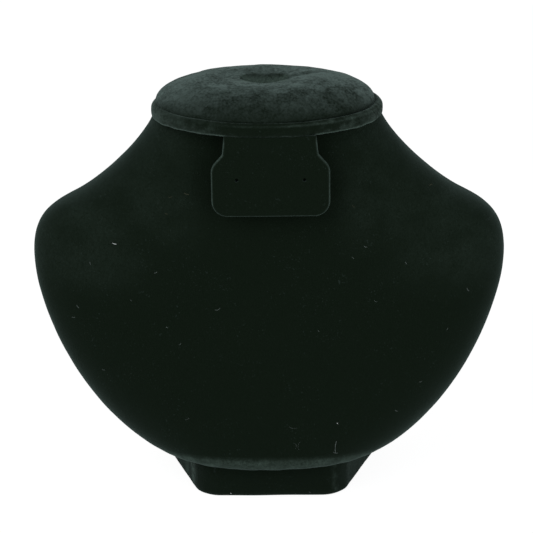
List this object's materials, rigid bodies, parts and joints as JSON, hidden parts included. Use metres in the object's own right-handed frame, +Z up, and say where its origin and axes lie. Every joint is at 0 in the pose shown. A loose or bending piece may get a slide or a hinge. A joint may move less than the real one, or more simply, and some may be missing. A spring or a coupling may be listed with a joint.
{
  "type": "necklace stand",
  "caption": "Velvet bust stand for a necklace, with a flared foot, an oval top cap whose slotted pad holds a ring, and a pierced hanging card that holds earrings.",
  "frame": {"origin": "middle of the foot's underside, on the table", "axes": "+X across the shoulders, +Y to the back of the stand, +Z up"},
  "size_m": [0.192, 0.074, 0.1728],
  "materials": {
    "velvet": "short-pile velvet, near black with a green cast, pale sheen on edges",
    "shell": "moulded, unpainted",
    "board": "plain fibreboard",
    "card": "black pressed card",
    "foam": "soft foam",
    "steel": "zinc plated screws"
  },
  "bodies": {
    "root": {"bust_shell": "shell", "bust_velvet": "velvet", "back_panel": "board", "back_velvet": "velvet", "base_block": "board", "neck_plate": "board", "cap_board": "board", "cap_velvet": "velvet", "pad_foam": "foam", "pad_velvet": "velvet", "flap_card": "card", "flap_velvet": "velvet", "foot_block": "board", "foot_velvet": "velvet", "foot_sole": "card", "foot_screws": "steel", "cap_screws": "steel"}
  },
  "joints": []
}
